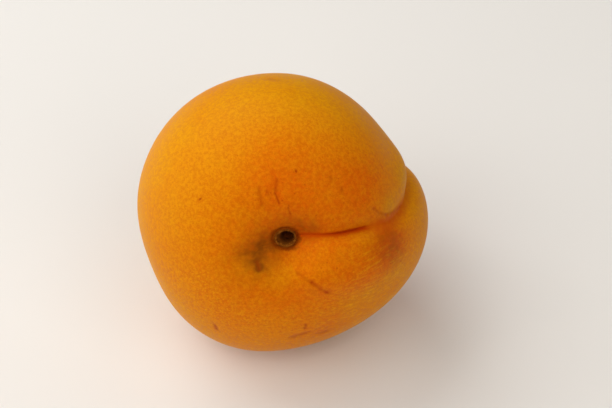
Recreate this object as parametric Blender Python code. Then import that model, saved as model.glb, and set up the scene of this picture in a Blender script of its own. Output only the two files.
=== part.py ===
"""Apricot: one whole ripe fruit that lies on its side, stem end up and to the front.

The fruit is one solid. Its skin starts as a UV sphere whose poles are the stem scar and the tip,
and each vertex is moved to where the fruit's own formulas put it: an uneven body, a suture that
runs from the scar to the tip, two cheeks beside it, and the hollow that holds the scar.
The fruit is then tipped into its resting pose and a small flat spot is cut where it lies.

Fruit frame: +Z out of the stem end, +X towards the suture, azimuth turned from +X to +Y.
World frame: +Z up, -Y to the front, origin under the middle of the fruit at the surface it lies on.
"""

import math

import bmesh
import bpy
from mathutils import Matrix, Vector

MM = 0.001

# The body, before the suture and the stem hollow are worked into it.
BODY_RADIUS = 23.1 * MM  # mean radius round the stem axis, at the widest section
STEM_LENGTH = 21.0 * MM  # widest section to the top of the stem shoulder
TIP_LENGTH = 23.0 * MM  # widest section to the tip
SHOULDER_POWER = 0.94  # below 1, the profile is fuller than an ellipse
BACK_LEAN = 0.096  # share of the radius by which the body leans away from the suture
THREE_SIDES = 0.0156  # share of the radius in the slightly three-sided section
THREE_SIDES_AZIMUTH = math.radians(-7)
FOUR_SIDES = 0.0096  # share of the radius in the slightly four-sided section
FOUR_SIDES_AZIMUTH = math.radians(67)

# The flat place where the fruit leaned on its twig.
LEAN_SPOT_POLAR = math.radians(76)
LEAN_SPOT_AZIMUTH = math.radians(-158)
LEAN_SPOT_SIZE = math.radians(17)
LEAN_SPOT_DEPTH = 0.45 * MM

# The suture, a seam from the stem to the tip: its path over the skin.
SUTURE_AZIMUTH = math.radians(6.2)
SUTURE_HOOK = math.radians(10)  # how far it bends aside where it leaves the scar
SUTURE_HOOK_WIDTH = math.radians(14)
SUTURE_TURN = math.radians(18.5)  # how far it turns on its way round the widest section
SUTURE_TURN_START = math.radians(50)
SUTURE_TURN_END = math.radians(116)
SEAM_START = math.radians(2)  # its relief grows from here
SEAM_FULL = math.radians(7)
SEAM_FADE = math.radians(165)
SEAM_END = math.radians(178)  # and has faded out here

# The soft trough all along the seam.
VALLEY_DEPTH = 0.7 * MM
UPPER_VALLEY_WIDTH = 1.7 * MM
LOWER_VALLEY_WIDTH = 1.3 * MM
SADDLE_SHARE = 0.45  # part of the trough that fills up where the tight fold ends
SADDLE_MIDDLE = math.radians(48)
SADDLE_SPREAD = math.radians(8)

# Beside the stem: the skin slopes into the seam above it and swells to a lip below it.
SLOPE_DEPTH = 0.9 * MM
UPPER_SLOPE_WIDTH = 4.2 * MM
LOWER_SLOPE_WIDTH = 0.9 * MM
LIP_RISE = 1.0 * MM
LIP_OFFSET = 6.5 * MM
LIP_WIDTH = 4.2 * MM
LIP_MIDDLE = math.radians(28)
LIP_SPREAD = math.radians(24)

# The tight fold in the seam beside the stem.
FOLD_DEPTH = 0.4 * MM
FOLD_EXTRA_DEPTH = 0.4 * MM  # added where the fold is deepest
FOLD_WIDTH = 0.5 * MM
FOLD_MIDDLE = math.radians(33)
FOLD_SPREAD = math.radians(11)
FOLD_FADE_START = math.radians(35)
FOLD_FADE_END = math.radians(45)

# The swollen cheek on the lower side of the suture, and the roll on its upper side.
CHEEK_RISE = 2.5 * MM
CHEEK_OFFSET = 7.8 * MM  # from the seam to the crest of the swelling
CHEEK_MIDDLE = math.radians(92)
CHEEK_SPREAD = math.radians(37)
UPPER_CHEEK_RISE = 0.8 * MM
UPPER_CHEEK_OFFSET = 4.2 * MM
UPPER_CHEEK_WIDTH = 3.0 * MM
UPPER_CHEEK_MIDDLE = math.radians(79)
UPPER_CHEEK_SPREAD = math.radians(13)

# The hollow at the stem, with a shallow dent that leads away from it.
HOLLOW_DEPTH = 1.6 * MM
HOLLOW_WIDTH = 9.0 * MM
FUNNEL_DEPTH = 2.6 * MM
FUNNEL_WIDTH = 4.2 * MM
DENT_AZIMUTH = math.radians(200)
DENT_DEPTH = 0.5 * MM
DENT_WIDTH = 1.7 * MM
DENT_START = 1.5 * MM  # distances from the stem axis
DENT_FULL = 4.0 * MM
DENT_FADE = 6.0 * MM
DENT_END = 11.0 * MM

# The oval scar that the stalk leaves: a corky ring, a moat round it and a pit inside it.
SCAR_OVAL = 1.2  # the scar is wider than it is tall by this factor
SCAR_ABOVE = 0.25 * MM  # from the stem axis to the middle of the ring, towards the upper side
RING_RADIUS = 1.55 * MM
RING_HEIGHT = 0.3 * MM
RING_WIDTH = 0.2 * MM
MOAT_RADIUS = 1.95 * MM
MOAT_DEPTH = 0.32 * MM
MOAT_WIDTH = 0.24 * MM
PIT_RADIUS = 1.22 * MM
PIT_FLOOR_SHARE = 0.68  # of the pit's radius, where its wall reaches the floor
PIT_DEPTH = 1.8 * MM
PIT_ASIDE = 0.3 * MM  # from the stem axis towards the suture
PIT_ABOVE = 0.45 * MM  # from the stem axis towards the upper side

# The tip, a low blunt point.
TIP_HEIGHT = 0.7 * MM
TIP_WIDTH = 2.6 * MM

# How the fruit lies, and the spot that its own weight has flattened.
STEM_RISE = math.radians(31)  # stem axis above the horizontal
FLAT_SPOT_DEPTH = 0.8 * MM

# The mesh: rings crowd towards both poles, and meridians towards the suture.
MERIDIANS = 80
RINGS = 76
POLE_CROWDING = 0.7
SUTURE_CROWDING = 0.6
CRISP_ANGLE = math.radians(50)  # edges that turn more than this are drawn sharp

SKIN_COLOUR = (0.71, 0.22, 0.003, 1.0)
SKIN_ROUGHNESS = 0.55


def clear_scene():
    """Removes whatever the scene holds."""
    for old in list(bpy.data.objects):
        bpy.data.objects.remove(old)


def smooth_step(value, low, high):
    """Rises smoothly from 0 at low to 1 at high."""
    share = min(max((value - low) / (high - low), 0.0), 1.0)
    return share * share * (3 - 2 * share)


def bell(value, width):
    """1 at zero, falling to about a third at the width given."""
    return math.exp(-((value / width) ** 2))


def section_radius(azimuth):
    """Radius of the body's widest section at an azimuth."""
    three = THREE_SIDES * math.cos(3 * (azimuth - THREE_SIDES_AZIMUTH))
    four = FOUR_SIDES * math.cos(4 * (azimuth - FOUR_SIDES_AZIMUTH))
    return BODY_RADIUS * (1 - BACK_LEAN * math.cos(azimuth) + three + four)


def lean_relief(polar, azimuth):
    """Height of the slightly flat place, measured from the full body."""
    beside = math.remainder(azimuth - LEAN_SPOT_AZIMUTH, 2 * math.pi)
    away = math.hypot(polar - LEAN_SPOT_POLAR, math.sin(polar) * beside)
    return -LEAN_SPOT_DEPTH * bell(away, LEAN_SPOT_SIZE)


def suture_azimuth(polar):
    """Azimuth of the seam at a polar angle from the stem."""
    hook = SUTURE_HOOK * bell(polar, SUTURE_HOOK_WIDTH)
    turn = SUTURE_TURN * smooth_step(polar, SUTURE_TURN_START, SUTURE_TURN_END)
    return SUTURE_AZIMUTH + hook + turn


def seam_ends(polar):
    """1 along the seam, fading to 0 in the scar and at the tip."""
    start = smooth_step(polar, SEAM_START, SEAM_FULL)
    return start * (1 - smooth_step(polar, SEAM_FADE, SEAM_END))


def fold_strength(polar):
    """Depth of the tight fold on its way from the scar."""
    fade = 1 - smooth_step(polar, FOLD_FADE_START, FOLD_FADE_END)
    return fade * (FOLD_DEPTH + FOLD_EXTRA_DEPTH * bell(polar - FOLD_MIDDLE, FOLD_SPREAD))


def suture_relief(polar, across):
    """Height of the skin near the seam; across is the distance to it, above 0 on the upper cheek."""
    saddle = 1 - SADDLE_SHARE * bell(polar - SADDLE_MIDDLE, SADDLE_SPREAD)
    valley_width = UPPER_VALLEY_WIDTH if across > 0 else LOWER_VALLEY_WIDTH
    valley = VALLEY_DEPTH * saddle * bell(across, valley_width)
    slope_width = UPPER_SLOPE_WIDTH if across > 0 else LOWER_SLOPE_WIDTH
    slope = SLOPE_DEPTH * bell(across, slope_width)
    lip = LIP_RISE * bell(across + LIP_OFFSET, LIP_WIDTH)
    fold = fold_strength(polar) * math.exp(-abs(across) / FOLD_WIDTH)
    return seam_ends(polar) * ((lip - slope) * bell(polar - LIP_MIDDLE, LIP_SPREAD) - fold - valley)


def cheek_relief(polar, across):
    """Height of the cheeks: the lower one starts at the seam and fades slowly, the upper one rolls."""
    reach = max(-across, 0.0) / CHEEK_OFFSET
    lower = CHEEK_RISE * reach * math.exp(1 - reach) * bell(polar - CHEEK_MIDDLE, CHEEK_SPREAD)
    upper = UPPER_CHEEK_RISE * bell(across - UPPER_CHEEK_OFFSET, UPPER_CHEEK_WIDTH)
    return lower + upper * bell(polar - UPPER_CHEEK_MIDDLE, UPPER_CHEEK_SPREAD)


def stem_dent(from_axis, azimuth):
    """Depth of the dent that leads away from the funnel."""
    along = from_axis * math.cos(azimuth - DENT_AZIMUTH)
    beside = from_axis * math.sin(azimuth - DENT_AZIMUTH)
    reach = smooth_step(along, DENT_START, DENT_FULL) * (1 - smooth_step(along, DENT_FADE, DENT_END))
    return DENT_DEPTH * reach * bell(beside, DENT_WIDTH)


def oval_distance(from_axis, azimuth, aside, above):
    """Distance to a point beside the stem axis, by which an oval as wide as the scar counts as round."""
    across = from_axis * math.cos(azimuth) - aside
    up = from_axis * math.sin(azimuth) - above
    return math.hypot(across, SCAR_OVAL * up)


def scar_relief(from_axis, azimuth):
    """Height of the scar's ring, moat and pit."""
    from_ring = oval_distance(from_axis, azimuth, 0.0, SCAR_ABOVE)
    ring = RING_HEIGHT * bell(from_ring - RING_RADIUS, RING_WIDTH)
    moat = MOAT_DEPTH * bell(from_ring - MOAT_RADIUS, MOAT_WIDTH)
    from_pit = oval_distance(from_axis, azimuth, PIT_ASIDE, PIT_ABOVE)
    wall = smooth_step(from_pit, PIT_FLOOR_SHARE * PIT_RADIUS, PIT_RADIUS)
    return ring - moat - PIT_DEPTH * (1 - wall)


def stem_relief(from_axis, azimuth):
    """Height along the stem axis at the stem end."""
    hollow = HOLLOW_DEPTH * bell(from_axis, HOLLOW_WIDTH) + FUNNEL_DEPTH * bell(from_axis, FUNNEL_WIDTH)
    return scar_relief(from_axis, azimuth) - hollow - stem_dent(from_axis, azimuth)


def skin_point(polar, azimuth):
    """The point of the skin at a polar angle from the stem and an azimuth from the suture side."""
    radius = section_radius(azimuth) * math.sin(polar) ** SHOULDER_POWER
    across = radius * math.remainder(azimuth - suture_azimuth(polar), 2 * math.pi)
    relief = suture_relief(polar, across) + cheek_relief(polar, across) + lean_relief(polar, azimuth)
    if polar < math.pi / 2:
        height = STEM_LENGTH * math.cos(polar) + stem_relief(radius, azimuth)
    else:
        height = TIP_LENGTH * math.cos(polar) - TIP_HEIGHT * bell(radius, TIP_WIDTH)
    out = radius + relief * math.sin(polar)
    return Vector((out * math.cos(azimuth), out * math.sin(azimuth), height + relief * math.cos(polar)))


def crowded(share, crowding):
    """Moves a share of a full turn towards 0 and 1, where the mesh has to be finer."""
    return share - crowding * math.sin(2 * math.pi * share) / (2 * math.pi)


def shape_skin(mesh):
    """Moves each vertex of a unit sphere to its place on the fruit's skin."""
    for vertex in mesh.vertices:
        flat = math.hypot(vertex.co.x, vertex.co.y)
        ring_share = math.atan2(flat, vertex.co.z) / math.pi
        turn_share = math.atan2(vertex.co.y, vertex.co.x) / (2 * math.pi) % 1.0
        polar = math.pi * crowded(ring_share, POLE_CROWDING)
        azimuth = suture_azimuth(polar) + 2 * math.pi * crowded(turn_share, SUTURE_CROWDING)
        vertex.co = skin_point(max(polar, 0.0), azimuth)


def lay_down(fruit):
    """Tips the fruit into its resting pose, cuts the flat spot and centres it over the origin."""
    skin = bmesh.new()
    skin.from_mesh(fruit.data)
    skin.transform(Matrix.Rotation(math.radians(90) - STEM_RISE, 4, "X"))
    lowest = min(vertex.co.z for vertex in skin.verts)
    skin.transform(Matrix.Translation((0, 0, -lowest - FLAT_SPOT_DEPTH)))

    everything = skin.verts[:] + skin.edges[:] + skin.faces[:]
    cut = bmesh.ops.bisect_plane(
        skin, geom=everything, plane_co=(0, 0, 0), plane_no=(0, 0, 1), clear_inner=True
    )
    rim = [item for item in cut["geom_cut"] if isinstance(item, bmesh.types.BMEdge)]
    bmesh.ops.edgeloop_fill(skin, edges=rim)
    for vertex in {end for edge in rim for end in edge.verts}:
        vertex.co.z = 0.0
    bmesh.ops.recalc_face_normals(skin, faces=skin.faces)

    sides = [[vertex.co[axis] for vertex in skin.verts] for axis in range(2)]
    middle = [(min(side) + max(side)) / 2 for side in sides]
    skin.transform(Matrix.Translation((-middle[0], -middle[1], 0)))
    skin.to_mesh(fruit.data)
    skin.free()


def mark_edges(mesh):
    """Smooths the skin, but keeps the scar's steep walls and the flat spot's rim crisp."""
    mesh.shade_smooth()
    mesh.set_sharp_from_angle(angle=CRISP_ANGLE)
    for edge in mesh.edges:
        if all(mesh.vertices[end].co.z == 0.0 for end in edge.vertices):
            edge.use_edge_sharp = True


def skin_material():
    """The plain orange of the ripe skin."""
    material = bpy.data.materials.new("apricot_skin")
    material.use_nodes = True
    shader = material.node_tree.nodes["Principled BSDF"]
    shader.inputs["Base Color"].default_value = SKIN_COLOUR
    shader.inputs["Roughness"].default_value = SKIN_ROUGHNESS
    shader.inputs["Metallic"].default_value = 0.0
    material.diffuse_color = SKIN_COLOUR
    return material


def make_apricot():
    """Builds the fruit and puts it in a collection of its own."""
    bpy.ops.mesh.primitive_uv_sphere_add(segments=MERIDIANS, ring_count=RINGS, radius=1.0)
    fruit = bpy.context.object
    fruit.name = "apricot"
    fruit.data.name = "apricot"
    shape_skin(fruit.data)
    lay_down(fruit)
    mark_edges(fruit.data)
    fruit.data.materials.append(skin_material())

    home = bpy.data.collections.new("apricot")
    bpy.context.scene.collection.children.link(home)
    for collection in list(fruit.users_collection):
        collection.objects.unlink(fruit)
    home.objects.link(fruit)
    return fruit


clear_scene()
make_apricot()
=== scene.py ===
# %% [markdown]
# # A ripe apricot, lying on its side
# This lesson models one whole apricot: a fleshy fruit in a thin velvety skin, with a suture from
# the stem scar to the tip and one cheek that has swollen further than the other. A frame made
# earlier fixes its size and the way it lies. Here it gets its real surface and its colours.

# %% Load the frame
import math

import bmesh
import bpy
import numpy as np
from mathutils import Matrix, Vector, noise


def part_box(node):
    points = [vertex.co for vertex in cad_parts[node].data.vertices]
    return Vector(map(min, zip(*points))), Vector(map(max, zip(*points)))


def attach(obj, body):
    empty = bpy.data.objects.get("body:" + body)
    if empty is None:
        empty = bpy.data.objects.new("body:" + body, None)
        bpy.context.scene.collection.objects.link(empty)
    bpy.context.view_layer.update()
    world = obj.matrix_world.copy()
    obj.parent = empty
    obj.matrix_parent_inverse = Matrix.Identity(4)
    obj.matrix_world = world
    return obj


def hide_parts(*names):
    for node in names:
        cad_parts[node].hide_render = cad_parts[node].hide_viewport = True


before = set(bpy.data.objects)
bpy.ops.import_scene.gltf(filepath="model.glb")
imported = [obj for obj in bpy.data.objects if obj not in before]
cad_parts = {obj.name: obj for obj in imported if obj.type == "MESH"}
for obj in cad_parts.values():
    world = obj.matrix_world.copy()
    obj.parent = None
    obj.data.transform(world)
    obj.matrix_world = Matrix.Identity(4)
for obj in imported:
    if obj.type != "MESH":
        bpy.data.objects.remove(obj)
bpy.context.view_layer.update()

MM = 0.001
box_low, box_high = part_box("apricot")
box_size = box_high - box_low
print("the fruit fills a box of", [round(side / MM, 2) for side in box_size], "mm")

# %% [markdown]
# ## The body
# An apricot is nearly a ball, but not quite: its section is a little three-sided and four-sided,
# and the flesh leans away from the suture. It could be sculpted by hand. A formula is chosen
# here, because every vertex then knows how far it is from the stem and from the suture, and the
# skin's colours need just that.
#
# The fruit has a frame of its own: +Z out of the stem end, +X towards the suture. A point on the
# skin is given by its polar angle from the stem and its azimuth round the stem axis.

# %% Measures of the body
BODY_RADIUS = 23.1 * MM
STEM_LENGTH = 21.0 * MM
TIP_LENGTH = 23.0 * MM
SHOULDER_POWER = 0.94
BACK_LEAN = 0.096
THREE_SIDES = 0.0156
THREE_SIDES_AZIMUTH = math.radians(-7)
FOUR_SIDES = 0.0096
FOUR_SIDES_AZIMUTH = math.radians(67)


def smooth_step(value, low, high):
    """Rises smoothly from 0 at low to 1 at high."""
    share = np.clip((value - low) / (high - low), 0.0, 1.0)
    return share * share * (3 - 2 * share)


def bell(value, width):
    """1 at zero, falling to about a third at the width given."""
    return np.exp(-((value / width) ** 2))


def section_radius(azimuth):
    """Radius of the body's widest section."""
    three = THREE_SIDES * np.cos(3 * (azimuth - THREE_SIDES_AZIMUTH))
    four = FOUR_SIDES * np.cos(4 * (azimuth - FOUR_SIDES_AZIMUTH))
    return BODY_RADIUS * (1 - BACK_LEAN * np.cos(azimuth) + three + four)


around = np.radians(np.arange(0, 360, 5))
print("the widest section's radius is", round(section_radius(around).min() / MM, 1), "to",
      round(section_radius(around).max() / MM, 1), "mm")

# %% [markdown]
# ## The suture and the swollen cheek
# The suture is the seam where the fruit's wall closed as it grew. Beside the stem it is a tight
# fold: the upper cheek rolls down into it slowly, and the lower one swells up from it at once.
# Further round the fold opens into a shallow channel. A bevel or a cut would leave a straight,
# even groove, so each of these is a relief that depends on the distance to the seam, and its
# depth changes on the way to the tip.

# %% The seam's path
SUTURE_AZIMUTH = math.radians(6.2)
SUTURE_HOOK = math.radians(10)
SUTURE_HOOK_WIDTH = math.radians(14)
SUTURE_TURN = math.radians(18.5)
SUTURE_TURN_START = math.radians(50)
SUTURE_TURN_END = math.radians(116)


def suture_azimuth(polar):
    """Azimuth of the seam at a polar angle from the stem."""
    hook = SUTURE_HOOK * bell(polar, SUTURE_HOOK_WIDTH)
    turn = SUTURE_TURN * smooth_step(polar, SUTURE_TURN_START, SUTURE_TURN_END)
    return SUTURE_AZIMUTH + hook + turn


def seam_distance(polar, azimuth, radius):
    """Signed distance to the seam round the stem axis, above 0 on the upper cheek."""
    turned = azimuth - suture_azimuth(polar)
    return radius * ((turned + math.pi) % (2 * math.pi) - math.pi)


path = np.degrees(suture_azimuth(np.radians([5, 45, 90, 135])))
print("the seam's azimuth at 5, 45, 90 and 135 degrees from the stem:", path.round(1))

# %% Suture relief
VALLEY_DEPTH = 0.7 * MM
UPPER_VALLEY_WIDTH = 1.7 * MM
LOWER_VALLEY_WIDTH = 1.3 * MM
SADDLE_SHARE = 0.45  # part of the valley that fills up where the tight fold ends
SADDLE_MIDDLE = math.radians(48)
SADDLE_SPREAD = math.radians(8)
SLOPE_DEPTH = 0.9 * MM
UPPER_SLOPE_WIDTH = 4.2 * MM
LOWER_SLOPE_WIDTH = 0.9 * MM
LIP_RISE = 1.0 * MM  # the swelling just below the seam
LIP_OFFSET = 6.5 * MM
LIP_WIDTH = 4.2 * MM
LIP_MIDDLE = math.radians(28)
LIP_SPREAD = math.radians(24)
FOLD_DEPTH = 0.4 * MM
FOLD_EXTRA_DEPTH = 0.4 * MM  # added where the fold is deepest
FOLD_WIDTH = 0.5 * MM
FOLD_MIDDLE = math.radians(33)
FOLD_SPREAD = math.radians(11)
FOLD_FADE_START = math.radians(35)
FOLD_FADE_END = math.radians(45)
SEAM_START = math.radians(2)  # the seam's relief grows from here
SEAM_FULL = math.radians(7)
SEAM_FADE = math.radians(165)
SEAM_END = math.radians(178)  # and has faded out here


def seam_ends(polar):
    """1 along the seam, fading to 0 in the scar and at the tip."""
    start = smooth_step(polar, SEAM_START, SEAM_FULL)
    return start * (1 - smooth_step(polar, SEAM_FADE, SEAM_END))


def fold_strength(polar):
    """Depth of the tight fold on its way from the scar, in metres."""
    fade = 1 - smooth_step(polar, FOLD_FADE_START, FOLD_FADE_END)
    return fade * (FOLD_DEPTH + FOLD_EXTRA_DEPTH * bell(polar - FOLD_MIDDLE, FOLD_SPREAD))


def suture_relief(polar, across):
    """Height of the skin near the seam; across is the distance to it, above 0 on the upper cheek."""
    saddle = 1 - SADDLE_SHARE * bell(polar - SADDLE_MIDDLE, SADDLE_SPREAD)
    valley_width = np.where(across > 0, UPPER_VALLEY_WIDTH, LOWER_VALLEY_WIDTH)
    valley = VALLEY_DEPTH * saddle * bell(across, valley_width)
    slope_width = np.where(across > 0, UPPER_SLOPE_WIDTH, LOWER_SLOPE_WIDTH)
    slope = SLOPE_DEPTH * bell(across, slope_width)
    lip = LIP_RISE * bell(across + LIP_OFFSET, LIP_WIDTH)
    fold = fold_strength(polar) * np.exp(-np.abs(across) / FOLD_WIDTH)
    return seam_ends(polar) * ((lip - slope) * bell(polar - LIP_MIDDLE, LIP_SPREAD) - fold - valley)


steps_mm = np.array([-6, -3, -1, 0, 1, 3, 6])
across_section = suture_relief(np.full(7, math.radians(30)), steps_mm * MM) / MM
print("relief", steps_mm, "mm from the seam:", across_section.round(2), "mm")

# %% Cheek relief
CHEEK_RISE = 2.5 * MM
CHEEK_OFFSET = 7.8 * MM
CHEEK_MIDDLE = math.radians(92)
CHEEK_SPREAD = math.radians(37)
UPPER_CHEEK_RISE = 0.8 * MM
UPPER_CHEEK_OFFSET = 4.2 * MM
UPPER_CHEEK_WIDTH = 3.0 * MM
UPPER_CHEEK_MIDDLE = math.radians(79)
UPPER_CHEEK_SPREAD = math.radians(13)


def cheek_relief(polar, across):
    """Height of the cheeks: the lower one starts at the seam and fades slowly, the upper one rolls."""
    reach = np.maximum(-across, 0.0) / CHEEK_OFFSET
    lower = CHEEK_RISE * reach * np.exp(1 - reach) * bell(polar - CHEEK_MIDDLE, CHEEK_SPREAD)
    upper = UPPER_CHEEK_RISE * bell(across - UPPER_CHEEK_OFFSET, UPPER_CHEEK_WIDTH)
    return lower + upper * bell(polar - UPPER_CHEEK_MIDDLE, UPPER_CHEEK_SPREAD)


crest = cheek_relief(CHEEK_MIDDLE, np.linspace(-15, 0, 31) * MM).max() / MM
print("the lower cheek swells by", round(float(crest), 2), "mm")

# %% [markdown]
# ## The stem hollow
# The stalk has come off and left an oval scar in the bottom of a funnel: a corky ring, a moat
# where the skin folds down beside it, and a dark pit that sits off the middle of the ring, since
# the stalk stood aslant. The skin round it is drawn into fine radial puckers, and a shallow dent
# leads from the funnel down the front of the fruit. All of them are heights along the stem axis.

# %% Stem relief
HOLLOW_DEPTH = 1.6 * MM
HOLLOW_WIDTH = 9.0 * MM
FUNNEL_DEPTH = 2.6 * MM
FUNNEL_WIDTH = 4.2 * MM
SCAR_OVAL = 1.2  # the scar is wider than it is tall by this factor
SCAR_ABOVE = 0.25 * MM
RING_RADIUS = 1.55 * MM
RING_HEIGHT = 0.3 * MM
RING_WIDTH = 0.2 * MM
MOAT_RADIUS = 1.95 * MM
MOAT_DEPTH = 0.32 * MM
MOAT_WIDTH = 0.24 * MM
PIT_RADIUS = 1.22 * MM
PIT_FLOOR_SHARE = 0.68  # of the pit's radius, where its wall reaches the floor
PIT_DEPTH = 1.8 * MM
PIT_ASIDE = 0.3 * MM  # from the stem axis towards the suture
PIT_ABOVE = 0.45 * MM  # from the stem axis towards the upper side
DENT_AZIMUTH = math.radians(200)
DENT_DEPTH = 0.5 * MM
DENT_WIDTH = 1.7 * MM
DENT_START = 1.5 * MM  # distances from the stem axis
DENT_FULL = 4.0 * MM
DENT_FADE = 6.0 * MM
DENT_END = 11.0 * MM
PUCKER_COUNT = 17
PUCKER_DEPTH = 0.03 * MM
BROAD_CROWDING = 1.3  # radians by which the puckers are shifted, to make them uneven
FINE_CROWDING = 0.8
PUCKER_START = 2.0 * MM  # distances from the stem axis
PUCKER_FULL = 2.8 * MM
PUCKER_FADE = 3.5 * MM
PUCKER_END = 7.0 * MM


def oval_distance(from_axis, azimuth, aside, above):
    """Distance to a point beside the stem axis, by which an oval as wide as the scar counts as round."""
    up = from_axis * np.sin(azimuth) - above
    return np.hypot(from_axis * np.cos(azimuth) - aside, SCAR_OVAL * up)


def ring_distance(from_axis, azimuth):
    """Distance to the middle of the scar's ring."""
    return oval_distance(from_axis, azimuth, 0.0, SCAR_ABOVE)


def pit_distance(from_axis, azimuth):
    """Distance to the middle of the pit."""
    return oval_distance(from_axis, azimuth, PIT_ASIDE, PIT_ABOVE)


def stem_dent(from_axis, azimuth):
    """Depth of the dent that leads away from the funnel."""
    along = from_axis * np.cos(azimuth - DENT_AZIMUTH)
    beside = from_axis * np.sin(azimuth - DENT_AZIMUTH)
    reach = smooth_step(along, DENT_START, DENT_FULL) * (1 - smooth_step(along, DENT_FADE, DENT_END))
    return DENT_DEPTH * reach * bell(beside, DENT_WIDTH)


def stem_puckers(from_axis, azimuth):
    """Height of the radial puckers; their spacing is uneven, and they end at the scar."""
    crowding = BROAD_CROWDING * np.sin(2 * azimuth) + FINE_CROWDING * np.sin(5 * azimuth + 1)
    wave = np.cos(PUCKER_COUNT * azimuth + crowding)
    start = smooth_step(from_axis, PUCKER_START, PUCKER_FULL)
    return PUCKER_DEPTH * wave * start * (1 - smooth_step(from_axis, PUCKER_FADE, PUCKER_END))


def stem_relief(from_axis, azimuth):
    """Height along the stem axis at the stem end."""
    hollow = HOLLOW_DEPTH * bell(from_axis, HOLLOW_WIDTH) + FUNNEL_DEPTH * bell(from_axis, FUNNEL_WIDTH)
    from_ring = ring_distance(from_axis, azimuth)
    ring = RING_HEIGHT * bell(from_ring - RING_RADIUS, RING_WIDTH)
    moat = MOAT_DEPTH * bell(from_ring - MOAT_RADIUS, MOAT_WIDTH)
    from_pit = pit_distance(from_axis, azimuth)
    pit = PIT_DEPTH * (1 - smooth_step(from_pit, PIT_FLOOR_SHARE * PIT_RADIUS, PIT_RADIUS))
    height = ring - hollow - moat - pit
    return height - stem_dent(from_axis, azimuth) + stem_puckers(from_axis, azimuth)


steps = np.array([0, RING_RADIUS, MOAT_RADIUS, 4 * MM, 8 * MM])
print("stem end", (steps / MM).round(2), "mm from its axis:",
      (stem_relief(steps, np.zeros(5)) / MM).round(2), "mm")

# %% [markdown]
# ## One skin point
# The body and its reliefs come together in one function, which gives the place of a skin point
# in the fruit's own frame. The tip end carries the low blunt point that the flower left.

# %% Skin points
LEAN_SPOT_POLAR = math.radians(76)
LEAN_SPOT_AZIMUTH = math.radians(-158)
LEAN_SPOT_SIZE = math.radians(17)
LEAN_SPOT_DEPTH = 0.45 * MM
TIP_HEIGHT = 0.7 * MM
TIP_WIDTH = 2.6 * MM


def body_radius(polar, azimuth):
    """Distance of the body's surface from the stem axis."""
    return section_radius(azimuth) * np.sin(polar) ** SHOULDER_POWER


def lean_relief(polar, azimuth):
    """Height of the slightly flat place where the fruit leaned on its twig."""
    beside = (azimuth - LEAN_SPOT_AZIMUTH + math.pi) % (2 * math.pi) - math.pi
    away = np.hypot(polar - LEAN_SPOT_POLAR, np.sin(polar) * beside)
    return -LEAN_SPOT_DEPTH * bell(away, LEAN_SPOT_SIZE)


def skin_points(polar, azimuth):
    """Places of skin points, one row each, in the fruit's own frame."""
    radius = body_radius(polar, azimuth)
    across = seam_distance(polar, azimuth, radius)
    relief = suture_relief(polar, across) + cheek_relief(polar, across) + lean_relief(polar, azimuth)
    stem_side = STEM_LENGTH * np.cos(polar) + stem_relief(radius, azimuth)
    tip_side = TIP_LENGTH * np.cos(polar) - TIP_HEIGHT * bell(radius, TIP_WIDTH)
    out = radius + relief * np.sin(polar)
    height = np.where(polar < math.pi / 2, stem_side, tip_side) + relief * np.cos(polar)
    return np.stack([out * np.cos(azimuth), out * np.sin(azimuth), height], axis=-1)


ends = skin_points(np.array([0.0, math.pi]), np.zeros(2))[:, 2] / MM
print("pit floor at", round(float(ends[0]), 2), "mm and tip at", round(float(ends[1]), 2), "mm")

# %% [markdown]
# ## The mesh
# The mesh starts as a UV sphere, which has its poles where the fruit has its stem and tip. Its
# rings are crowded towards the poles and its meridians towards the suture, so the fine creases
# get small faces and the plain cheeks get larger ones.

# %% Sphere with its vertices crowded
MERIDIANS = 360
RINGS = 275
POLE_CROWDING = 0.6
SUTURE_CROWDING = 0.65


def crowded(share, crowding):
    """Moves a share of a full turn towards 0 and 1, where the mesh has to be finer."""
    return share - crowding * np.sin(2 * math.pi * share) / (2 * math.pi)


fruit = bmesh.new()
bmesh.ops.create_uvsphere(fruit, u_segments=MERIDIANS, v_segments=RINGS, radius=1.0)
unit = np.array([vert.co for vert in fruit.verts])
ring_share = np.arctan2(np.hypot(unit[:, 0], unit[:, 1]), unit[:, 2]) / math.pi
turn_share = np.arctan2(unit[:, 1], unit[:, 0]) / (2 * math.pi) % 1.0
polar = np.clip(math.pi * crowded(ring_share, POLE_CROWDING), 0.0, math.pi)
azimuth = suture_azimuth(polar) + 2 * math.pi * crowded(turn_share, SUTURE_CROWDING)
print(len(fruit.verts), "vertices and", len(fruit.faces), "faces")

# %% [markdown]
# ## Laying it down
# The fruit lies on its side with its stem end up and to the front. It is turned about X, scaled
# until it just fits the frame's box, and let down until the box holds it. The small spot it lies
# on is pressed flat with a soft edge, the way flesh gives under its own weight.

# %% Placing
STEM_RISE = math.radians(31)
FLAT_SPOT_DEPTH = 0.8 * MM
FLAT_EDGE = 0.12 * MM
turn = np.array(Matrix.Rotation(math.radians(90) - STEM_RISE, 3, "X"))

turned = skin_points(polar, azimuth) @ turn.T
own_low, own_high = turned.min(axis=0), turned.max(axis=0)
own_size = own_high - own_low
own_size[2] -= FLAT_SPOT_DEPTH
scale = min(np.array(box_size) / own_size)
middle = (own_low + own_high) / 2
middle[2] = own_low[2] + FLAT_SPOT_DEPTH
box_middle = (np.array(box_low) + np.array(box_high)) / 2
box_middle[2] = box_low.z


def placed(points):
    """Points of the fruit's own frame, where they lie in the room."""
    return (points @ turn.T - middle) * scale + box_middle


def pressed(height):
    """Heights with everything under the surface pressed flat, with a soft edge."""
    soft = (height + FLAT_EDGE) ** 2 / (4 * FLAT_EDGE)
    return np.where(height > FLAT_EDGE, height, np.where(height < -FLAT_EDGE, 0.0, soft))


places = placed(skin_points(polar, azimuth))
for vert, place in zip(fruit.verts, places):
    vert.co = place
fruit.normal_update()
print("scaled by", round(float(scale), 4), "to fit the frame's box")

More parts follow.
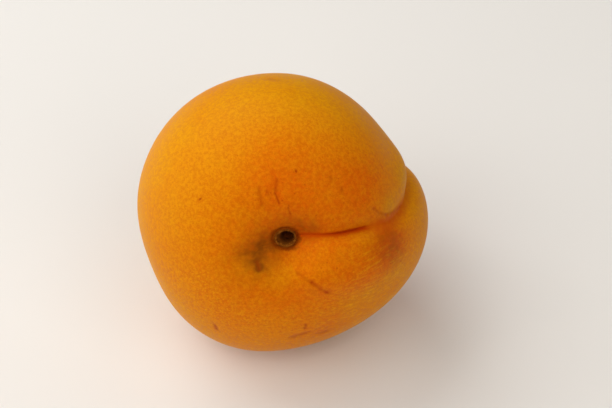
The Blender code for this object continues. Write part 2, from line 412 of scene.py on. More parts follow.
# %% [markdown]
# ## Lumps and small unevenness
# Ripe flesh is never perfectly even. Three sizes of noise push the skin in and out along its
# normals: broad dents from the branch and the crate, soft lumps, and a slight puckering. The
# amounts are small, or the fruit would look like modelling clay.

# %% Uneven skin
UNEVENNESS = [(11 * MM, 0.13 * MM), (4.5 * MM, 0.014 * MM), (1.6 * MM, 0.004 * MM)]


def unevenness(place):
    """Height of the lumps at a place, as a sum of noises of three sizes."""
    return sum(height * noise.noise(place / size) for size, height in UNEVENNESS)


rise = np.array([unevenness(vert.co) for vert in fruit.verts])
normals = np.array([vert.normal for vert in fruit.verts])
places = places + normals * rise[:, None]
print("the skin rises and falls by", round(float(np.abs(rise).max() / MM), 3), "mm")

# %% [markdown]
# ## Marks on the skin
# A fruit from a tree carries small scars: a scratch from a twig, rubbed spots, an open pore. The
# same lines draw the dark edge of the fold in the cheek, which is painted shade over a slight dent.
# Each is a short line between two points of the skin. It dents the mesh a little here, and the skin
# material colours it along the same line.

# %% Scratches, rubs and pores
MARK_SHARE = 0.6  # where a mark has faded to a third, as a share of its width
# Each mark: polar angle and azimuth of both ends in degrees, width and dent in mm, strength.
MARKS = {
    "twig_scratch_top": ((24, 97), (19.5, 100), 0.45, 0.03, 0.5),
    "twig_scratch": ((18.6, 101), (14.5, 98), 0.28, 0.03, 0.7),
    "twig_scratch_end": ((13.1, 85.1), (10.4, 80), 0.26, 0.05, 0.6),
    "side_scratch": ((22, 115), (15.1, 120.6), 0.45, 0.03, 0.5),
    "faint_scratch": ((20.2, 108.8), (17, 107.5), 0.4, 0.02, 0.35),
    "long_rub_start": ((11.8, -68.5), (18, -56.3), 0.5, 0.04, 0.4),
    "long_rub": ((18, -56.3), (27, -50.7), 0.6, 0.06, 0.75),
    # The next three lines paint shade along the edge of the fold in the upper cheek, over a slight real
    # dent.
    "cheek_fold_shade": ((43.8, 17.9), (47, 13), 0.4, 0.12, 0.5),
    "cheek_fold_shade_middle": ((47, 13), (52, 9.9), 0.4, 0.12, 0.4),
    "cheek_fold_shade_end": ((52, 9.9), (66, 9.5), 0.45, 0.1, 0.3),
    "front_rub": ((48.4, -127.3), (51.2, -124.5), 0.5, 0.05, 0.75),
    "low_rub": ((46.6, -87.2), (46.1, -78), 0.85, 0.05, 0.55),
    "low_rub_end": ((50.9, -72.9), (52.8, -68.3), 0.8, 0.04, 0.4),
    "low_nick": ((39.3, -77.4), (41.9, -78.8), 0.42, 0.06, 0.85),
    "open_pore": ((34.1, 153.1), (34.3, 153.4), 0.26, 0.06, 1.0),
    "red_pore": ((28, 81.2), (28.3, 81.6), 0.3, 0.04, 1.0),
    "small_speck": ((32.8, 55.2), (32.5, 54.2), 0.5, 0.02, 0.6),
    "small_speck_lower": ((32.8, 43), (32.6, 42), 0.4, 0.02, 0.65),
    "dent_speck": ((11.3, -144), (12.2, -134), 0.5, 0.12, 0.3),
    "top_rub": ((81.1, 97.2), (79.2, 93.9), 1.0, 0.03, 0.28),
    "back_scratch": ((106, 168), (121, 178), 0.35, 0.06, 0.6),
    "back_rub": ((128, -118), (133, -110), 0.6, 0.05, 0.5),
    "side_nick": ((88, -150), (89.5, -148), 0.4, 0.06, 0.6),
    "tip_rub": ((150, 96), (154, 110), 0.45, 0.05, 0.55),
}


def on_skin(polar_degrees, azimuth_degrees):
    """The place in the room of a skin point given by its two angles."""
    return placed(skin_points(np.radians(polar_degrees), np.radians(azimuth_degrees)))


def gap_to_line(points, start, end):
    """Distances of points to the straight line between two places."""
    run = end - start
    share = np.clip((points - start) @ run / (run @ run), 0.0, 1.0)
    return np.linalg.norm(points - start - share[:, None] * run, axis=1)


mark_and_fold_shade_strength = np.zeros(len(places))
dents = np.zeros(len(places))
for first, last, width, dent, strength in MARKS.values():
    gaps = gap_to_line(places, on_skin(*first), on_skin(*last))
    line = bell(gaps, MARK_SHARE * width * MM)
    mark_and_fold_shade_strength = np.maximum(mark_and_fold_shade_strength, strength * line)
    dents += dent * MM * line
places = places - normals * dents[:, None]
print(len(MARKS), "marks, the deepest", round(float(dents.max() / MM), 2), "mm deep")

# %% [markdown]
# ## Where the skin is red, brown or pressed
# A ripe apricot is gold where leaves shaded it and reddens where the sun reached it, in soft
# patches that run into each other. Round the scar the skin is stained brown, and the same brown
# paints the shade in the dent beside the scar and where the upper cheek rolls down into the seam.
# Where the fruit was in the shade longest it stays a pale olive gold. The patches are sums of soft
# round spots, which is how one would dab them on with a large brush; a spot below 0 lifts colour
# off again.

# %% Blush, stain and painted shade
# Each spot: polar angle and azimuth in degrees, size in mm, strength.
BLUSH_SPOTS = [
    (12, -30, 22, 0.5), (30, -160, 14, 0.24), (40, -100, 11, 0.17),  # broad, over the front
    (31, 90, 7.5, 0.27), (41, 35, 7.5, 0.38), (25, 100, 6, 0.13), (56, 32, 5, 0.13),  # upper side
    (12, 88, 4, 0.1), (8, 23, 3, 0.26), (8, -168, 4, 0.18),  # round the scar
    (35, -36, 6, 0.15), (46, -3, 3.4, 0.4), (55, -7, 4, 0.3), (42, -14, 4, 0.2),  # lower cheek
    (30, -26, 4, 0.1), (48, -27, 4, 0.15), (52, -66, 4, 0.2),
    (38, 3, 2.5, -0.25), (35, -3, 2.5, -0.1), (11, -100, 3, -0.3),  # clearer skin
    (19, -88, 3.5, 0.12), (15, -143, 2.6, -0.25), (38, -95, 5, -0.1),
    (105, 118, 11, 0.3), (128, -30, 13, 0.6), (150, 120, 8, 0.35),  # back, underside and tip
    (112, -110, 10, 0.35), (104, 62, 8, 0.2), (165, -60, 9, 0.3),
]
# The brown spots beside the scar and above the seam's start are partly painted shade: they darken the
# dent beside the scar and the upper cheek where it rolls down into the seam.
STAIN_AND_SHADE_SPOTS = [
    (9, -163, 2.5, 0.42), (5, -172, 2.4, 0.5), (13.5, -161, 1.9, 0.22),  # beside the scar
    (12, -138, 1.3, 0.3), (9, -122, 2.6, 0.16), (14, -140, 3, 0.1), (12, -135, 0.55, 1.0),
    (11, -146, 0.5, 0.35),
    (8.5, 42, 2.4, 0.35), (13, 28, 1.8, 0.25),  # above the seam's start
    (46, -3, 3.4, 0.38), (51, -9, 2.6, 0.2), (54, -68, 4, 0.08),  # lower cheek
    (18, -152, 5, 0.1), (6, 80, 2.2, 0.25), (175, 30, 3.2, 0.25), (112, -70, 5, 0.2),
]
PALE_SPOTS = [
    (52, -23, 3.2, 0.28), (46, -36, 3.2, 0.22), (42, -48, 3, 0.1), (58, -16, 2.5, 0.12),  # lower cheek
    (54, 14, 2.4, 0.45), (72, 22, 2.6, 0.35),  # end of the upper cheek
    (76, 100, 12, 0.12), (100, -60, 9, 0.4), (120, 170, 12, 0.3),  # top, right and back
]


def spots_on_skin(spots):
    """Sum of soft round spots over the skin."""
    total = np.zeros(len(places))
    for polar_degrees, azimuth_degrees, size, strength in spots:
        gaps = np.linalg.norm(places - on_skin(polar_degrees, azimuth_degrees), axis=1)
        total += strength * bell(gaps, size * MM)
    return total


blush = spots_on_skin(BLUSH_SPOTS)
stain_and_shade = spots_on_skin(STAIN_AND_SHADE_SPOTS)
pale = spots_on_skin(PALE_SPOTS)
print("blush up to", round(float(blush.max()), 2), "and stain up to", round(float(stain_and_shade.max()), 2))

# %% [markdown]
# ## The finished mesh
# The marks are pressed in, the flat spot is pressed again, and nothing is left outside the
# frame's box. The faces of the scar get a second material slot. What the materials need to know
# about a vertex, such as its distance from the seam, it keeps as an attribute, which the shader
# nodes read and turn into masks as sharp or soft as they like.

# %% Mesh with its attributes
SCAR_EDGE = 1.85 * MM  # between the corky ring and the moat
FAR_AWAY = 40 * MM  # stands for the distance to the scar or tip at the other end of the fruit

places[:, 2] = pressed(places[:, 2])
places = np.clip(places, np.array(box_low), np.array(box_high))
for vert, place in zip(fruit.verts, places):
    vert.co = place
bmesh.ops.recalc_face_normals(fruit, faces=fruit.faces)

radius = body_radius(polar, azimuth)
across = seam_distance(polar, azimuth, radius)
in_scar = (ring_distance(radius, azimuth) < SCAR_EDGE) & (polar < math.pi / 2)
fruit.verts.ensure_lookup_table()
for face in fruit.faces:
    face.smooth = True
    face.material_index = int(all(in_scar[vert.index] for vert in face.verts))
fruit_mesh = bpy.data.meshes.new("apricot_fruit")
fruit.to_mesh(fruit_mesh)
fruit.free()

skin_fields = {
    "seam_gap": np.abs(across) / MM,
    "seam_side": np.sin(azimuth - suture_azimuth(polar)),
    "fold": fold_strength(polar) * seam_ends(polar) / (FOLD_DEPTH + FOLD_EXTRA_DEPTH),
    "stem_angle": np.degrees(polar),
    "ring_gap": np.where(polar < math.pi / 2, ring_distance(radius, azimuth), FAR_AWAY) / MM,
    "pit_gap": pit_distance(radius, azimuth) / MM,
    "tip_gap": np.where(polar > math.pi / 2, radius, FAR_AWAY) / MM,
    "mark_and_fold_shade": mark_and_fold_shade_strength,
    "blush": blush,
    "stain_and_shade": stain_and_shade,
    "pale": pale,
}
for name, values in skin_fields.items():
    field = fruit_mesh.attributes.new(name, "FLOAT", "POINT")
    field.data.foreach_set("value", values.astype(np.float32))
    print(name, "runs from", round(float(values.min()), 2), "to", round(float(values.max()), 2))

apricot_fruit = bpy.data.objects.new("apricot_fruit", fruit_mesh)
scene = bpy.context.scene
scene.collection.objects.link(apricot_fruit)

# %% [markdown]
# ## Small helpers for materials
# Shader nodes are added by hand in Blender's editor. In a script, a few helpers keep each finish
# readable: one adds a node with its inputs, and the others are the steps that come back again
# and again, such as a soft threshold or a mix of two colours.

# %% Node helpers
MIX_FACTOR, MIX_FIRST, MIX_SECOND, MIX_RESULT = 0, 6, 7, 2  # the colour sockets of a Mix node
NOISE_LOW, NOISE_HIGH = 0.3, 0.7  # the range that most of a noise lies in


def add_node(tree, kind, inputs, **settings):
    """Adds a node; an input that is a socket gets linked, and any other sets the value."""
    node = tree.nodes.new(kind)
    for name, value in settings.items():
        setattr(node, name, value)
    for key, value in inputs.items():
        if isinstance(value, bpy.types.NodeSocket):
            tree.links.new(value, node.inputs[key])
        else:
            node.inputs[key].default_value = value
    return node


def maths(tree, operation, first, second=0.0):
    """One Math node; gives its result."""
    return add_node(tree, "ShaderNodeMath", {0: first, 1: second}, operation=operation).outputs[0]


def soft_range(tree, value, low, high, start=0.0, end=1.0):
    """Maps low..high to start..end smoothly, and holds the value outside."""
    inputs = {"Value": value, "From Min": low, "From Max": high, "To Min": start, "To Max": end}
    node = add_node(tree, "ShaderNodeMapRange", inputs, interpolation_type="SMOOTHSTEP")
    return node.outputs["Result"]


def mixed(tree, factor, first, second, blend="MIX"):
    """Mixes two colours; gives the colour."""
    inputs = {MIX_FACTOR: factor, MIX_FIRST: first, MIX_SECOND: second}
    node = add_node(tree, "ShaderNodeMix", inputs, data_type="RGBA", blend_type=blend)
    return node.outputs[MIX_RESULT]


def attribute(tree, name):
    """The value of one of the mesh's fields."""
    return add_node(tree, "ShaderNodeAttribute", {}, attribute_name=name).outputs["Fac"]


def noise_of(tree, place, size, detail=2.0, roughness=0.5):
    """Noise from 0 to 1 with lumps of the size given, in metres."""
    inputs = {"Vector": place, "Scale": 1 / size, "Detail": detail, "Roughness": roughness}
    return add_node(tree, "ShaderNodeTexNoise", inputs).outputs["Fac"]


print("helpers ready for Blender", bpy.app.version_string)

# %% [markdown]
# ## Two effects that both finishes share
# The skin and the corky scar both show grain, and both are dotted with tiny pits. Each effect is
# a node group, built once and given its own values in each material. Grain is two noises of
# different size. Dots are the middles of Voronoi cells, thinned out by the cells' own random
# colours, since pores keep a distance from each other but aren't all open.

# %% Node groups
def new_group(name, inputs, outputs):
    """A node group with named sockets; gives it with its input and output node."""
    group = bpy.data.node_groups.new(name, "ShaderNodeTree")
    for socket, kind in inputs.items():
        group.interface.new_socket(name=socket, in_out="INPUT", socket_type=kind)
    for socket in outputs:
        group.interface.new_socket(name=socket, in_out="OUTPUT", socket_type="NodeSocketFloat")
    return group, group.nodes.new("NodeGroupInput").outputs, group.nodes.new("NodeGroupOutput").inputs


GRAIN_COARSENESS = 0.38  # scale of the coarse noise over that of the fine one
GRAIN_LOW, GRAIN_HIGH = 0.7, 1.3  # the sum of both noises, stretched to full contrast

grain, given, result = new_group(
    "fine_grain", {"Place": "NodeSocketVector", "Size": "NodeSocketFloat"}, ["Grain"])
fine_scale = maths(grain, "DIVIDE", 1.0, given["Size"])
coarse_scale = maths(grain, "MULTIPLY", fine_scale, GRAIN_COARSENESS)
fine = add_node(grain, "ShaderNodeTexNoise",
                {"Vector": given["Place"], "Scale": fine_scale, "Detail": 2.0, "Roughness": 0.6})
coarse = add_node(grain, "ShaderNodeTexNoise",
                  {"Vector": given["Place"], "Scale": coarse_scale, "Detail": 1.0})
both = maths(grain, "ADD", fine.outputs["Fac"], coarse.outputs["Fac"])
grain.links.new(soft_range(grain, both, GRAIN_LOW, GRAIN_HIGH), result["Grain"])

SMALLEST_DOT = 0.55  # share of the full dot size
DOT_CORE = 0.3  # share of a dot that is at full strength

dots, given, result = new_group(
    "scattered_dots",
    {"Place": "NodeSocketVector", "Spacing": "NodeSocketFloat", "Dot Size": "NodeSocketFloat",
     "Open Share": "NodeSocketFloat"},
    ["Dots"])
cells = add_node(dots, "ShaderNodeTexVoronoi",
                 {"Vector": given["Place"], "Scale": maths(dots, "DIVIDE", 1.0, given["Spacing"])})
cell_random = add_node(dots, "ShaderNodeSeparateColor", {"Color": cells.outputs["Color"]})
is_open = maths(dots, "LESS_THAN", cell_random.outputs["Red"], given["Open Share"])
own_share = soft_range(dots, cell_random.outputs["Green"], 0.0, 1.0, SMALLEST_DOT, 1.0)
own_size = maths(dots, "MULTIPLY", given["Dot Size"], own_share)
gap = maths(dots, "MULTIPLY", cells.outputs["Distance"], given["Spacing"])
dot = soft_range(dots, maths(dots, "DIVIDE", gap, own_size), DOT_CORE, 1.0, 1.0, 0.0)
dots.links.new(maths(dots, "MULTIPLY", dot, is_open), result["Dots"])
print("groups:", [group.name for group in bpy.data.node_groups])


def grain_of(tree, place, size):
    """Fine grain from 0 to 1, of the size given in metres."""
    return add_node(tree, "ShaderNodeGroup", {"Place": place, "Size": size}, node_tree=grain).outputs[0]


def dots_of(tree, place, spacing, dot_size, open_share):
    """Mask of scattered dots; sizes in metres."""
    inputs = {"Place": place, "Spacing": spacing, "Dot Size": dot_size, "Open Share": open_share}
    return add_node(tree, "ShaderNodeGroup", inputs, node_tree=dots).outputs[0]

# %% [markdown]
# ## The skin's ground colour
# The ground is gold, clouded with amber, and the blush goes over it. A painted image would do it
# too, but would need a file. Here noise breaks up the soft blush spots, so their edges look
# grown. The blue part of every colour is almost nothing, which is what keeps the orange pure.

# %% Skin: ground and blush
GOLD = (0.71, 0.29, 0.0015, 1)
AMBER = (0.71, 0.27, 0.0012, 1)
SUN_RED = (0.71, 0.106, 0.0008, 1)
CLOUD_SIZE = 7 * MM
PATCH_SIZE = 2.2 * MM
MOTTLE_SIZE = 0.7 * MM
PATCH_SPREAD = 0.08  # how far the patches and the mottle make the blush weaker or stronger
MOTTLE_SPREAD = 0.12

skin = bpy.data.materials.new("apricot_skin")
skin.use_nodes = True
skin_nodes = skin.node_tree
skin_shader = skin_nodes.nodes["Principled BSDF"]
place = add_node(skin_nodes, "ShaderNodeTexCoord", {}).outputs["Object"]

cloud = noise_of(skin_nodes, place, CLOUD_SIZE)
ground = mixed(skin_nodes, soft_range(skin_nodes, cloud, 0.35, 0.65), GOLD, AMBER)

patches = soft_range(skin_nodes, noise_of(skin_nodes, place, PATCH_SIZE, 3.0),
                     NOISE_LOW, NOISE_HIGH, 1 - PATCH_SPREAD, 1 + PATCH_SPREAD)
mottle = soft_range(skin_nodes, noise_of(skin_nodes, place, MOTTLE_SIZE, 2.0),
                    NOISE_LOW, NOISE_HIGH, 1 - MOTTLE_SPREAD, 1 + MOTTLE_SPREAD)
blush_field = attribute(skin_nodes, "blush")
blush_mask = maths(skin_nodes, "MULTIPLY", blush_field, maths(skin_nodes, "MULTIPLY", patches, mottle))
colour = mixed(skin_nodes, blush_mask, ground, SUN_RED)
print("ground colour made of", len(skin_nodes.nodes), "nodes")

# %% [markdown]
# ## Streaks, freckles and pores
# The skin was stretched as the flesh swelled, and that left fine pale streaks, which all run the
# same way over the lower cheek. A noise squeezed across that way and stretched along it draws
# them. Red freckles sit in the blush, and fine pores are everywhere. The tips of the down are
# painted as fine specks of painted glint and painted shade, partly the down's own uneven tone.

# %% Skin: streaks, freckles and pores
OLIVE_GOLD = (0.60, 0.30, 0.006, 1)
STREAK_GOLD = (0.80, 0.36, 0.004, 1)
FRECKLE_RED = (0.50, 0.045, 0.001, 1)
PORE_BROWN = (0.40, 0.075, 0.001, 1)
DOWN_PAINTED_GLINT = (1.07, 1.2, 1.6, 1)
DOWN_PAINTED_SHADE = (0.93, 0.81, 0.7, 1)
STREAK_WAY = Vector((0.79, 0.6, -0.05))  # the way the streaks run
STREAK_SIZE = (2.6 * MM, 0.34 * MM, 0.34 * MM)  # along that way, and across it
CHEEK_STREAKS = 0.4  # strength of the streaks all over the lower cheek
PALE_STREAKS = 0.6  # and more where the skin is pale
FRECKLE_SPACING = 0.85 * MM
FRECKLE_SIZE = 0.2 * MM
FRECKLE_SHARE = 0.45
PORE_SPACING = 0.62 * MM
PORE_SIZE = 0.1 * MM
PORE_SHARE = 0.6
PORE_STRENGTH = 0.5
GRAIN_SIZE = 0.2 * MM

angle = attribute(skin_nodes, "stem_angle")
seam_gap = attribute(skin_nodes, "seam_gap")
side = attribute(skin_nodes, "seam_side")
ring_gap = attribute(skin_nodes, "ring_gap")
pale_field = attribute(skin_nodes, "pale")
colour = mixed(skin_nodes, pale_field, colour, OLIVE_GOLD)

streak_place = add_node(skin_nodes, "ShaderNodeMapping", {
    "Vector": place, "Rotation": STREAK_WAY.to_track_quat("X", "Z").to_euler(), "Scale": STREAK_SIZE},
    vector_type="TEXTURE").outputs["Vector"]
streaks = soft_range(skin_nodes, noise_of(skin_nodes, streak_place, 1.0, 2.0), 0.48, 0.7)
lower_cheek = maths(skin_nodes, "MULTIPLY", soft_range(skin_nodes, side, -0.05, -0.3),
                    maths(skin_nodes, "MULTIPLY", soft_range(skin_nodes, angle, 20, 35),
                          soft_range(skin_nodes, angle, 100, 60)))
streak_share = maths(skin_nodes, "ADD", maths(skin_nodes, "MULTIPLY", lower_cheek, CHEEK_STREAKS),
                     maths(skin_nodes, "MULTIPLY", pale_field, PALE_STREAKS))
streak_mask = maths(skin_nodes, "MULTIPLY", streaks, streak_share)
colour = mixed(skin_nodes, streak_mask, colour, STREAK_GOLD)

freckles = dots_of(skin_nodes, place, FRECKLE_SPACING, FRECKLE_SIZE, FRECKLE_SHARE)
in_blush = soft_range(skin_nodes, blush_field, 0.15, 0.9, 0.1, 0.6)
colour = mixed(skin_nodes, maths(skin_nodes, "MULTIPLY", freckles, in_blush), colour, FRECKLE_RED)
pores = dots_of(skin_nodes, place, PORE_SPACING, PORE_SIZE, PORE_SHARE)
colour = mixed(skin_nodes, maths(skin_nodes, "MULTIPLY", pores, PORE_STRENGTH), colour, PORE_BROWN)

# Painted light: lit and shaded copies of the skin's colour, mixed by the grain, paint glints on the tips
# of the down and shade between them, over the down's own uneven tone.
down = grain_of(skin_nodes, place, GRAIN_SIZE)
shaded = mixed(skin_nodes, 1.0, colour, DOWN_PAINTED_SHADE, "MULTIPLY")
lit = mixed(skin_nodes, 1.0, colour, DOWN_PAINTED_GLINT, "MULTIPLY")
colour = mixed(skin_nodes, down, shaded, lit)
print("with streaks, freckles and pores:", len(skin_nodes.nodes), "nodes")

# %% [markdown]
# ## Stains, the fold and the marks
# Brown stains spread from the scar, and the same brown paints the shade in the dent beside the
# scar and where the upper cheek rolls down into the seam. Round the scar a dark brown is painted
# into the moat, partly brown skin and partly painted shade. The tight fold is painted dark red at
# its bottom, as painted shade with the red of light that bounces between two walls of ripe skin,
# and the channel beyond it is painted a warm red, partly the seam's own red and partly painted shade.
# Marks have healed to a dry reddish brown; along the edge of the cheek's fold the same brown is
# painted shade. The flower's end of the fruit is a small dry brown point.

# %% Skin: stains and painted shade, fold, marks and tip
STAIN_AND_SHADE_BROWN = (0.27, 0.062, 0.002, 1)
MOAT_SHADE_BROWN = (0.24, 0.04, 0.001, 1)
FOLD_SHADE_RED = (0.56, 0.058, 0.0006, 1)
CHANNEL_RED_AND_SHADE = (0.60, 0.085, 0.001, 1)
MARK_AND_FOLD_SHADE_BROWN = (0.40, 0.024, 0.0005, 1)
DRY_BROWN = (0.16, 0.07, 0.02, 1)
EDGE_SIZE = 1.3 * MM  # of the noise that breaks up the edges of stains and marks
EDGE_LOW, EDGE_HIGH = 0.7, 1.3  # what it multiplies them by
MOAT_WAVE = 0.22  # mm by which the brown edge round the scar waves in and out
MOAT_COVER = 0.85

uneven = soft_range(skin_nodes, noise_of(skin_nodes, place, EDGE_SIZE, 3.0),
                    NOISE_LOW, NOISE_HIGH, EDGE_LOW, EDGE_HIGH)
# Brown stains, and painted shade in the dent beside the scar and above the seam's start.
stain_and_shade_mask = maths(skin_nodes, "MULTIPLY", attribute(skin_nodes, "stain_and_shade"), uneven)
colour = mixed(skin_nodes, stain_and_shade_mask, colour, STAIN_AND_SHADE_BROWN)

fold = attribute(skin_nodes, "fold")
# Painted shade: the seam's start and the channel beyond the fold are painted a warm red, partly the
# seam's own red and partly the shade in the channel.
start_red = maths(skin_nodes, "MULTIPLY", soft_range(skin_nodes, seam_gap, 0.9, 0.1),
                  soft_range(skin_nodes, angle, 30, 20, 0.1, 0.4))
channel_red = maths(skin_nodes, "MULTIPLY", soft_range(skin_nodes, seam_gap, 1.5, 0.2),
                    maths(skin_nodes, "MULTIPLY", soft_range(skin_nodes, angle, 36, 46),
                          soft_range(skin_nodes, angle, 90, 60, 0.2, 0.7)))
channel = maths(skin_nodes, "MAXIMUM", start_red, channel_red)
colour = mixed(skin_nodes, maths(skin_nodes, "MULTIPLY", channel, uneven), colour, CHANNEL_RED_AND_SHADE)
# Painted shade: the bottom of the tight fold is painted dark red, with the red of light bounced between
# its walls.
fold_shade_line = maths(skin_nodes, "MULTIPLY", soft_range(skin_nodes, seam_gap, 0.65, 0.12),
                  soft_range(skin_nodes, fold, 0.0, 0.75))
colour = mixed(skin_nodes, fold_shade_line, colour, FOLD_SHADE_RED)

# Painted shade: a dark brown is painted round the scar over the moat, partly brown skin and partly the
# shade in the moat.
moat_wave = soft_range(skin_nodes, uneven, EDGE_LOW, EDGE_HIGH, -MOAT_WAVE, MOAT_WAVE)
moat_gap = maths(skin_nodes, "ADD", ring_gap, moat_wave)
moat = soft_range(skin_nodes, moat_gap, 2.9, 2.0, 0.0, MOAT_COVER)
colour = mixed(skin_nodes, moat, colour, MOAT_SHADE_BROWN)

# Marks are coloured a healed reddish brown; along the edge of the cheek's fold the same brown is painted
# shade.
mark_and_fold_shade = attribute(skin_nodes, "mark_and_fold_shade")
mark_and_fold_shade_mask = maths(skin_nodes, "MULTIPLY", mark_and_fold_shade, uneven)
colour = mixed(skin_nodes, mark_and_fold_shade_mask, colour, MARK_AND_FOLD_SHADE_BROWN)
tip_gap = maths(skin_nodes, "MULTIPLY", attribute(skin_nodes, "tip_gap"), uneven)
dry_tip = soft_range(skin_nodes, tip_gap, 1.1, 0.6)
colour = mixed(skin_nodes, dry_tip, colour, DRY_BROWN)
skin_nodes.links.new(colour, skin_shader.inputs["Base Color"])
print("finished colour:", len(skin_nodes.nodes), "nodes")

# %% [markdown]
# ## The skin's surface
# The skin is matt, with a velvet of short down that shines at the rim, so the shader has sheen
# with a gold tint, a weak highlight, and a little light that goes under the skin. The relief
# too small for the mesh comes from a Bump node: pebbling, grain, pores and the edges of marks.

# %% Skin: relief and shine
PEBBLE_SIZE = 0.55 * MM
PEBBLE_HEIGHT = 0.022  # heights are in mm
DOWN_HEIGHT = 0.010
PORE_HEIGHT = -0.02
MARK_HEIGHT = -0.01
STREAK_HEIGHT = 0.03
SMOOTH_SKIN, ROUGH_SKIN = 0.46, 0.62  # roughness between the tips of the down and on them
MARK_POLISH = 0.05  # a healed mark is smoother by this

pebbles = noise_of(skin_nodes, place, PEBBLE_SIZE, 2.0)
height = maths(skin_nodes, "MULTIPLY", pebbles, PEBBLE_HEIGHT)
for relief, amount in [(down, DOWN_HEIGHT), (pores, PORE_HEIGHT), (mark_and_fold_shade_mask, MARK_HEIGHT),
                       (streak_mask, STREAK_HEIGHT)]:
    step = maths(skin_nodes, "MULTIPLY", relief, amount)
    height = maths(skin_nodes, "ADD", height, step)
skin_bump = add_node(skin_nodes, "ShaderNodeBump", {"Height": height, "Distance": MM, "Strength": 0.8})
skin_nodes.links.new(skin_bump.outputs["Normal"], skin_shader.inputs["Normal"])

skin_roughness = soft_range(skin_nodes, down, 0.0, 1.0, SMOOTH_SKIN, ROUGH_SKIN)
polish = maths(skin_nodes, "MULTIPLY", mark_and_fold_shade_mask, MARK_POLISH)
skin_roughness = maths(skin_nodes, "SUBTRACT", skin_roughness, polish)
skin_nodes.links.new(skin_roughness, skin_shader.inputs["Roughness"])
skin_shader.inputs["Specular IOR Level"].default_value = 0.12
skin_shader.inputs["Specular Tint"].default_value = (1.0, 0.6, 0.1, 1)
skin_shader.inputs["Sheen Weight"].default_value = 0.16
skin_shader.inputs["Sheen Roughness"].default_value = 0.15
skin_shader.inputs["Sheen Tint"].default_value = (1.0, 0.86, 0.38, 1)
skin_shader.inputs["Subsurface Weight"].default_value = 0.12
skin_shader.inputs["Subsurface Radius"].default_value = (1.0, 0.35, 0.08)
skin_shader.inputs["Subsurface Scale"].default_value = 1.5 * MM
fruit_mesh.materials.append(skin)
print("skin:", len(skin_nodes.nodes), "nodes")

# %% [markdown]
# ## The corky scar
# Where the stalk broke off, the ring has dried to a tan cork, and the pit inside it is painted very
# dark: painted shade in the hole over a dark brown, with a few pale fibres left. The ring's outer
# edge is painted darker into the moat, as painted shade. It is a material of its own, because it has
# no down, no blush and no light under its surface, and its grain is coarse.

# %% Scar material
CORK_BROWN = (0.20, 0.052, 0.003, 1)
CORK_TAN = (0.30, 0.095, 0.008, 1)
SHELF_BROWN = (0.13, 0.035, 0.002, 1)
PIT_SHADE_DARK = (0.05, 0.009, 0.001, 1)
PIT_BROWN = (0.14, 0.028, 0.002, 1)
FIBRE_PALE = (0.26, 0.10, 0.03, 1)
CORK_GRAIN_SIZE = 0.16 * MM
CRUMB_SIZE = 0.5 * MM
CORK_PIT_SPACING = 0.3 * MM
CORK_PIT_SIZE = 0.1 * MM
CORK_PIT_SHARE = 0.5
CORK_PIT_STRENGTH = 0.6
FIBRE_SPACING = 0.42 * MM
FIBRE_SIZE = 0.09 * MM
FIBRE_SHARE = 0.2
RAGGEDNESS = 0.14  # mm by which the borders between ring, shelf and pit wave
CORK_HEIGHT = 0.05  # of the grain above the little pits, in mm

cork = bpy.data.materials.new("scar_cork")
cork.use_nodes = True
cork_nodes = cork.node_tree
cork_shader = cork_nodes.nodes["Principled BSDF"]
place = add_node(cork_nodes, "ShaderNodeTexCoord", {}).outputs["Object"]
cork_grain = grain_of(cork_nodes, place, CORK_GRAIN_SIZE)
cork_pits = dots_of(cork_nodes, place, CORK_PIT_SPACING, CORK_PIT_SIZE, CORK_PIT_SHARE)
crumbs = noise_of(cork_nodes, place, CRUMB_SIZE, 3.0)
colour = mixed(cork_nodes, soft_range(cork_nodes, crumbs, 0.4, 0.62), CORK_BROWN, CORK_TAN)
pit_mask = maths(cork_nodes, "MULTIPLY", cork_pits, CORK_PIT_STRENGTH)
colour = mixed(cork_nodes, pit_mask, colour, SHELF_BROWN)

ragged = soft_range(cork_nodes, crumbs, NOISE_LOW, NOISE_HIGH, -RAGGEDNESS, RAGGEDNESS)
from_ring = maths(cork_nodes, "ADD", attribute(cork_nodes, "ring_gap"), ragged)
from_pit = maths(cork_nodes, "ADD", attribute(cork_nodes, "pit_gap"), ragged)
colour = mixed(cork_nodes, soft_range(cork_nodes, from_ring, 1.5, 1.2), colour, SHELF_BROWN)
# Painted shade: the pit is painted nearly black for the shade in the hole, over a dark brown.
pit_colour = mixed(cork_nodes, cork_grain, PIT_SHADE_DARK, PIT_BROWN)
fibres = dots_of(cork_nodes, place, FIBRE_SPACING, FIBRE_SIZE, FIBRE_SHARE)
pit_colour = mixed(cork_nodes, fibres, pit_colour, FIBRE_PALE)
colour = mixed(cork_nodes, soft_range(cork_nodes, from_pit, 0.7, 1.55), pit_colour, colour)
# Painted shade: the ring's outer edge is painted darker into the moat.
colour = mixed(cork_nodes, soft_range(cork_nodes, from_ring, 1.66, 1.85), colour, MOAT_SHADE_BROWN)
cork_nodes.links.new(colour, cork_shader.inputs["Base Color"])

cork_height = maths(cork_nodes, "SUBTRACT", maths(cork_nodes, "MULTIPLY", cork_grain, CORK_HEIGHT),
                    maths(cork_nodes, "MULTIPLY", cork_pits, CORK_HEIGHT))
cork_bump = add_node(cork_nodes, "ShaderNodeBump", {"Height": cork_height, "Distance": MM})
cork_nodes.links.new(cork_bump.outputs["Normal"], cork_shader.inputs["Normal"])
cork_roughness = soft_range(cork_nodes, cork_grain, 0.0, 1.0, 0.75, 0.95)
cork_nodes.links.new(cork_roughness, cork_shader.inputs["Roughness"])
cork_shader.inputs["Specular IOR Level"].default_value = 0.04
fruit_mesh.materials.append(cork)
print("scar:", len(cork_nodes.nodes), "nodes, on", int(in_scar.sum()), "vertices")

# %% [markdown]
# ## Floor, light and camera
# The fruit lies on a plain pale floor. The light is that of a bright room with its largest window
# behind the fruit on the left. Five square lights stand round it, each 0.6 m away, and
# the ones in front fill the shadows. The camera looks down at 45 degrees from close by.

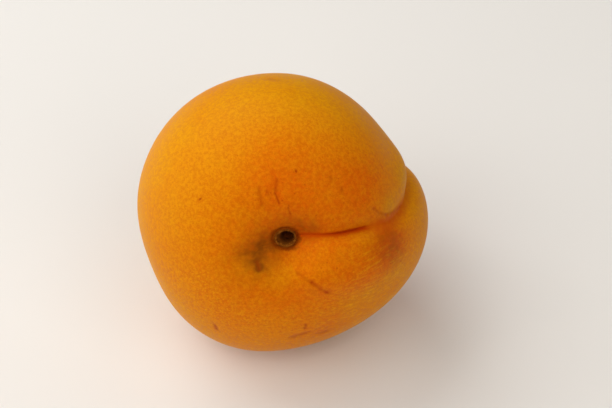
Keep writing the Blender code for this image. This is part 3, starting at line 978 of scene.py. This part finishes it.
# %% Floor
FLOOR_SIZE = 3.0
FLOOR_PALE = (0.84, 0.81, 0.77, 1)

floor_mesh = bpy.data.meshes.new("floor")
floor_shape = bmesh.new()
bmesh.ops.create_grid(floor_shape, x_segments=1, y_segments=1, size=FLOOR_SIZE / 2)
floor_shape.to_mesh(floor_mesh)
floor_shape.free()
floor = bpy.data.objects.new("floor", floor_mesh)
scene.collection.objects.link(floor)
floor_finish = bpy.data.materials.new("pale_floor")
floor_finish.use_nodes = True
floor_shader = floor_finish.node_tree.nodes["Principled BSDF"]
floor_shader.inputs["Base Color"].default_value = FLOOR_PALE
floor_shader.inputs["Roughness"].default_value = 0.9
floor_shader.inputs["Specular IOR Level"].default_value = 0.1
floor_mesh.materials.append(floor_finish)
print("floor", FLOOR_SIZE, "m wide")

# %% Lights
LIGHT_DISTANCE = 0.6
LIGHT_SIZE = 0.5
LIGHT_TARGET = Vector((0, 0, 0.02))


def add_light(name, azimuth, elevation, energy, colour):
    """A square light on a sphere round the fruit; azimuth 0 is the front and 90 the right."""
    turn_round, rise_up = math.radians(azimuth), math.radians(elevation)
    direction = Vector((math.sin(turn_round) * math.cos(rise_up),
                        -math.cos(turn_round) * math.cos(rise_up), math.sin(rise_up)))
    lamp = bpy.data.lights.new(name, "AREA")
    lamp.shape = "SQUARE"
    lamp.size = LIGHT_SIZE
    lamp.energy = energy
    lamp.color = colour
    light = bpy.data.objects.new(name, lamp)
    light.location = LIGHT_TARGET + LIGHT_DISTANCE * direction
    light.rotation_euler = (-direction).to_track_quat("-Z", "Y").to_euler()
    scene.collection.objects.link(light)


add_light("window", 228, 50, 2.15, (1, 1, 1))
add_light("left_window", 270, 25, 1.05, (1, 1, 1))
add_light("front_left", 315, 45, 1.55, (1, 0.98, 0.94))
add_light("front_right", 38, 43, 1.36, (1, 0.96, 0.9))
add_light("back_right", 135, 50, 0.5, (1, 1, 1))
room = bpy.data.worlds.new("room")
room.use_nodes = True
room.node_tree.nodes["Background"].inputs["Color"].default_value = (1.0, 0.95, 0.88, 1)
room.node_tree.nodes["Background"].inputs["Strength"].default_value = 0.02
scene.world = room
scene.view_settings.view_transform = "Standard"

# %% Camera
CAMERA_TILT = math.radians(45)
CAMERA_ASIDE = 3.79 * MM
CAMERA_IN_FRONT = 153.75 * MM
CAMERA_HEIGHT = 177.62 * MM

lens = bpy.data.cameras.new("camera")
lens.lens = 50
lens.sensor_width = 23.6
lens.clip_start = 0.01
lens.clip_end = 10
camera = bpy.data.objects.new("camera", lens)
camera.location = (CAMERA_ASIDE, -CAMERA_IN_FRONT, CAMERA_HEIGHT)
camera.rotation_euler = (CAMERA_TILT, 0, 0)
scene.collection.objects.link(camera)
scene.camera = camera
print("camera", round(camera.location.length / MM), "mm from the origin")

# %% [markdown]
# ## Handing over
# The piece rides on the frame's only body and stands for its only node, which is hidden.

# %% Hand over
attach(apricot_fruit, "root")
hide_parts("apricot")
